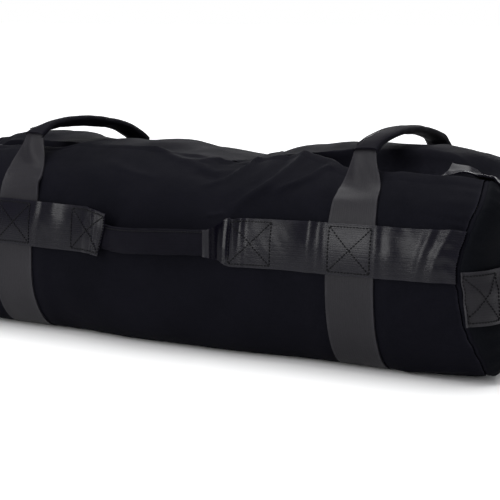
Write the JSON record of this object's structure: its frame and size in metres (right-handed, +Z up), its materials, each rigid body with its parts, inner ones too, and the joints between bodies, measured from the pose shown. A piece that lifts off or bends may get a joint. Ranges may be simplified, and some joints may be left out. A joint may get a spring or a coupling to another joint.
{
  "type": "training sandbag",
  "caption": "Barrel-shaped fabric sandbag with webbing straps, padded grab handles on its top, sides and ends, and a zipped top over sand-filled inner bags.",
  "frame": {"origin": "middle of the underside's bounding box, on the surface that the bag lies on", "axes": "+X along the bag, +Z up, and the front face with the nearer handle looks along -Y"},
  "size_m": [0.7322, 0.2952, 0.232],
  "materials": {
    "fabric_black": "woven, matt",
    "webbing_grey": "ribbed webbing",
    "webbing_dark": "ribbed webbing, slight sheen",
    "sleeve_black": "woven, padded",
    "zip_black": "moulded",
    "zip_metal": "dark coated",
    "liner_grey": "plain weave",
    "sand_tan": "loose grains"
  },
  "bodies": {
    "bag": {"bag_body": "fabric_black", "end_panel_left": "fabric_black", "end_panel_right": "fabric_black", "end_piping_left": "fabric_black", "end_piping_right": "fabric_black", "zip_placket": "fabric_black", "girth_strap_left": "webbing_grey", "girth_strap_right": "webbing_grey", "zip_tab_left": "webbing_grey", "zip_tab_right": "webbing_grey", "end_anchor_left_front": "webbing_grey", "end_anchor_left_rear": "webbing_grey", "end_anchor_right_front": "webbing_grey", "end_anchor_right_rear": "webbing_grey", "front_band_left": "webbing_dark", "front_band_right": "webbing_dark", "rear_band_left": "webbing_dark", "rear_band_right": "webbing_dark", "zip_tape_front": "zip_black", "zip_tape_rear": "zip_black", "zip_teeth_front": "zip_black", "zip_teeth_rear": "zip_black", "zip_stop_left": "zip_metal", "zip_stop_right": "zip_metal", "filler_bag_1": "liner_grey", "filler_bag_2": "liner_grey", "filler_bag_3": "liner_grey", "filler_bag_4": "liner_grey", "filler_closure_1": "zip_black", "filler_closure_2": "zip_black", "filler_closure_3": "zip_black", "filler_closure_4": "zip_black", "sand_load_1": "sand_tan", "sand_load_2": "sand_tan", "sand_load_3": "sand_tan", "sand_load_4": "sand_tan"},
    "top_handle_left": {"top_handle_webbing_left": "webbing_grey", "top_handle_sleeve_left": "sleeve_black"},
    "top_handle_right": {"top_handle_webbing_right": "webbing_grey", "top_handle_sleeve_right": "sleeve_black"},
    "front_handle": {"front_handle_webbing": "webbing_dark", "front_handle_sleeve": "sleeve_black"},
    "rear_handle": {"rear_handle_webbing": "webbing_dark", "rear_handle_sleeve": "sleeve_black"},
    "end_handle_left": {"end_handle_left_webbing": "webbing_dark", "end_handle_left_sleeve": "sleeve_black"},
    "end_handle_right": {"end_handle_right_webbing": "webbing_dark", "end_handle_right_sleeve": "sleeve_black"},
    "zip_slider": {"zip_slider": "zip_metal"},
    "zip_pull": {"zip_pull": "zip_metal"}
  },
  "joints": [
    {"name": "top_handle_left_tilt", "type": "hinge", "parent": "bag", "child": "top_handle_left", "pos_m": [-0.1915, 0, 0.20357], "axis": [0, 1, 0], "range_deg": [-42, 42]},
    {"name": "top_handle_right_tilt", "type": "hinge", "parent": "bag", "child": "top_handle_right", "pos_m": [0.2015, 0, 0.20438], "axis": [0, 1, 0], "range_deg": [-42, 42]},
    {"name": "front_handle_tilt", "type": "hinge", "parent": "bag", "child": "front_handle", "pos_m": [0, -0.12711, 0.12], "axis": [1, 0, 0], "range_deg": [-30, 18]},
    {"name": "rear_handle_tilt", "type": "hinge", "parent": "bag", "child": "rear_handle", "pos_m": [0, 0.12711, 0.12], "axis": [1, 0, 0], "range_deg": [-18, 30]},
    {"name": "end_handle_left_tilt", "type": "hinge", "parent": "bag", "child": "end_handle_left", "pos_m": [-0.34564, 0, 0.08], "axis": [0, 1, 0], "range_deg": [-27, 27]},
    {"name": "end_handle_right_tilt", "type": "hinge", "parent": "bag", "child": "end_handle_right", "pos_m": [0.34564, 0, 0.08], "axis": [0, 1, 0], "range_deg": [-27, 27]},
    {"name": "zip_slide", "type": "slide", "parent": "bag", "child": "zip_slider", "axis": [1, 0, 0], "range_m": [0, 0.466]},
    {"name": "zip_pull_turn", "type": "hinge", "parent": "zip_slider", "child": "zip_pull", "pos_m": [-0.22, -0.05, 0.1804], "axis": [0, 1, 0], "range_deg": [0, 170]}
  ]
}
